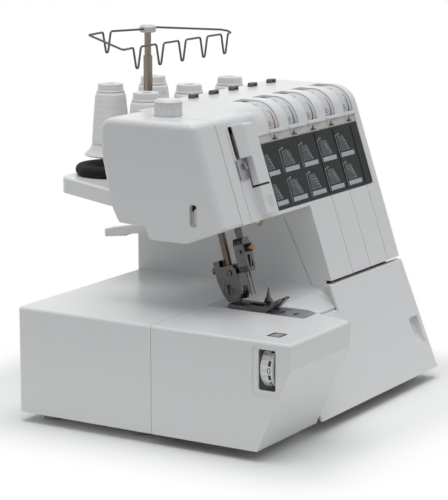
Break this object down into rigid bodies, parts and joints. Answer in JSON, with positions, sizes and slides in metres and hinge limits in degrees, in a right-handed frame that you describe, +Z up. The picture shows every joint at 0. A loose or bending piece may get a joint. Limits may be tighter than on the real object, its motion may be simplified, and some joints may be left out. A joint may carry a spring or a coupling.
{
  "type": "serger overlock machine",
  "caption": "Tabletop overlock sewing machine with extension table, hinged looper cover, tension dials, needle and presser mechanism, spool tray and telescopic thread mast.",
  "frame": {"origin": "middle of the whole machine's footprint, on the surface that its feet stand on", "axes": "+X to the operator's right (handwheel side), +Y to the back (spool tray), +Z up"},
  "size_m": [0.39, 0.39, 0.3666],
  "materials": {
    "white_plastic": "gloss",
    "grey_plastic": "satin",
    "dark_panel": "gloss",
    "black_plastic": "matte",
    "rubber": "matte",
    "foam": "matte",
    "thread": "matte",
    "casting": "cast",
    "steel": "polished",
    "bronze": "satin",
    "mast_plastic": "satin",
    "lens": "frosted",
    "dial_grey": "satin"
  },
  "bodies": {
    "machine": {"base_pan": "black_plastic", "rubber_feet": "rubber", "bed_rear_cover": "white_plastic", "throat_deck": "white_plastic", "free_arm": "grey_plastic", "chassis": "casting", "plain_bearings": "bronze", "front_housing": "white_plastic", "rear_housing": "white_plastic", "face_cover": "white_plastic", "thread_cutter": "steel", "right_end_cover": "white_plastic", "needle_plate": "steel", "thread_chart_panel": "dark_panel", "takeup_guard": "white_plastic", "takeup_latch": "white_plastic", "takeup_plate": "steel", "tension_thread_guides": "steel", "top_thread_guides": "steel", "work_lamp": "lens", "motor": "steel", "drive_belt": "rubber", "power_inlet": "black_plastic", "switch_frame": "black_plastic", "spool_tray": "grey_plastic", "spool_pins": "steel", "spool_cushions": "foam", "thread_cones": "thread", "mast_lower_tube": "steel", "housing_screws": "steel", "dial_axle": "steel"},
    "table": {"extension_table": "white_plastic"},
    "hinge_rod": {"cover_hinge_rod": "steel"},
    "cover": {"looper_cover": "white_plastic"},
    "drive_shaft": {"main_shaft": "steel", "handwheel": "grey_plastic", "belt_wheel": "black_plastic"},
    "pulley": {"motor_pulley": "black_plastic"},
    "rocker": {"needle_rocker": "steel"},
    "needle_carrier": {"needle_bar": "steel", "needle_clamp": "steel", "needles": "steel"},
    "presser": {"presser_bar": "steel", "foot_holder": "steel"},
    "foot": {"presser_foot": "steel"},
    "lifter": {"presser_lifter": "grey_plastic"},
    "pressure_screw": {"pressure_knob": "grey_plastic"},
    "stitch_wheel": {"stitch_length_dial": "grey_plastic"},
    "looper_a": {"upper_looper": "steel"},
    "looper_b": {"lower_looper": "steel"},
    "feed": {"feed_dog": "steel"},
    "mast_extension": {"mast_upper_tube": "steel"},
    "thread_guide": {"thread_guide_cap": "mast_plastic", "thread_guide_wire": "steel"},
    "switch_rocker": {"power_switch": "black_plastic"},
    "dial_1": {"tension_dial_1": "dial_grey"},
    "dial_2": {"tension_dial_2": "dial_grey"},
    "dial_3": {"tension_dial_3": "dial_grey"},
    "dial_4": {"tension_dial_4": "dial_grey"},
    "dial_5": {"tension_dial_5": "dial_grey"}
  },
  "joints": [
    {"name": "table_slide", "type": "slide", "parent": "machine", "child": "table", "axis": [-1, 0, 0], "range_m": [0, 0.12]},
    {"name": "cover_slide", "type": "slide", "parent": "machine", "child": "hinge_rod", "axis": [1, 0, 0], "range_m": [0, 0.007]},
    {"name": "cover_hinge", "type": "hinge", "parent": "hinge_rod", "child": "cover", "pos_m": [0, -0.155, 0.019], "axis": [1, 0, 0], "range_deg": [0, 75]},
    {"name": "handwheel_turn", "type": "hinge", "parent": "machine", "child": "drive_shaft", "pos_m": [0, 0.03, 0.08], "axis": [1, 0, 0], "continuous": true},
    {"name": "pulley_turn", "type": "hinge", "parent": "machine", "child": "pulley", "pos_m": [0, 0.077, 0.062], "axis": [1, 0, 0], "continuous": true},
    {"name": "rocker_swing", "type": "hinge", "parent": "machine", "child": "rocker", "pos_m": [0, 0.005, 0.272], "axis": [1, 0, 0], "range_deg": [0, 26]},
    {"name": "needle_stroke", "type": "slide", "parent": "machine", "child": "needle_carrier", "axis": [0, -0.2756, -0.9613], "range_m": [0, 0.024]},
    {"name": "looper_a_swing", "type": "hinge", "parent": "machine", "child": "looper_a", "pos_m": [0, -0.1, 0.034], "axis": [1, 0, 0], "range_deg": [0, 8]},
    {"name": "looper_b_swing", "type": "hinge", "parent": "machine", "child": "looper_b", "pos_m": [0, -0.075, 0.034], "axis": [1, 0, 0], "range_deg": [-8, 0]},
    {"name": "feed_stroke", "type": "slide", "parent": "machine", "child": "feed", "axis": [0, 1, 0], "range_m": [0, 0.004]},
    {"name": "lifter_swing", "type": "hinge", "parent": "machine", "child": "lifter", "pos_m": [0, -0.029, 0.1926], "axis": [1, 0, 0], "range_deg": [0, 30]},
    {"name": "presser_lift", "type": "slide", "parent": "machine", "child": "presser", "axis": [0, 0.2756, 0.9613], "range_m": [0, 0.005]},
    {"name": "foot_tilt", "type": "hinge", "parent": "presser", "child": "foot", "pos_m": [0, -0.06864, 0.12294], "axis": [1, 0, 0], "range_deg": [-8, 0]},
    {"name": "pressure_turn", "type": "hinge", "parent": "machine", "child": "pressure_screw", "pos_m": [-0.103, -0.007, 0.297], "axis": [0, 0, 1], "range_deg": [-360, 360]},
    {"name": "stitch_wheel_turn", "type": "hinge", "parent": "machine", "child": "stitch_wheel", "pos_m": [-0.1737, -0.169, 0.0875], "axis": [0, 1, 0], "range_deg": [-150, 150]},
    {"name": "mast_slide", "type": "slide", "parent": "machine", "child": "mast_extension", "axis": [0, 0, 1], "range_m": [-0.02, 0.08]},
    {"name": "guide_turn", "type": "hinge", "parent": "mast_extension", "child": "thread_guide", "pos_m": [0.0444, 0.113, 0.359], "axis": [0, 0, 1], "range_deg": [-90, 90]},
    {"name": "switch_rock", "type": "hinge", "parent": "machine", "child": "switch_rocker", "pos_m": [0.1645, 0.045, 0.029], "axis": [0, 1, 0], "range_deg": [-8, 8]},
    {"name": "dial_1_turn", "type": "hinge", "parent": "machine", "child": "dial_1", "pos_m": [-0.009, -0.04234, 0.276], "axis": [1, 0, 0], "range_deg": [-150, 150]},
    {"name": "dial_2_turn", "type": "hinge", "parent": "machine", "child": "dial_2", "pos_m": [0.0295, -0.04234, 0.276], "axis": [1, 0, 0], "range_deg": [-150, 150]},
    {"name": "dial_3_turn", "type": "hinge", "parent": "machine", "child": "dial_3", "pos_m": [0.068, -0.04234, 0.276], "axis": [1, 0, 0], "range_deg": [-150, 150]},
    {"name": "dial_4_turn", "type": "hinge", "parent": "machine", "child": "dial_4", "pos_m": [0.1065, -0.04234, 0.276], "axis": [1, 0, 0], "range_deg": [-150, 150]},
    {"name": "dial_5_turn", "type": "hinge", "parent": "machine", "child": "dial_5", "pos_m": [0.145, -0.04234, 0.276], "axis": [1, 0, 0], "range_deg": [-150, 150]}
  ],
  "couplings": [
    {"joint": "pulley_turn", "follows": "handwheel_turn", "ratio": 2.7273},
    {"joint": "needle_stroke", "follows": "rocker_swing", "m_per_rad": 0.0528},
    {"joint": "looper_a_swing", "follows": "rocker_swing", "ratio": 0.3},
    {"joint": "looper_b_swing", "follows": "rocker_swing", "ratio": -0.3},
    {"joint": "feed_stroke", "follows": "rocker_swing", "m_per_rad": 0.0088},
    {"joint": "presser_lift", "follows": "lifter_swing", "m_per_rad": 0.0095}
  ]
}
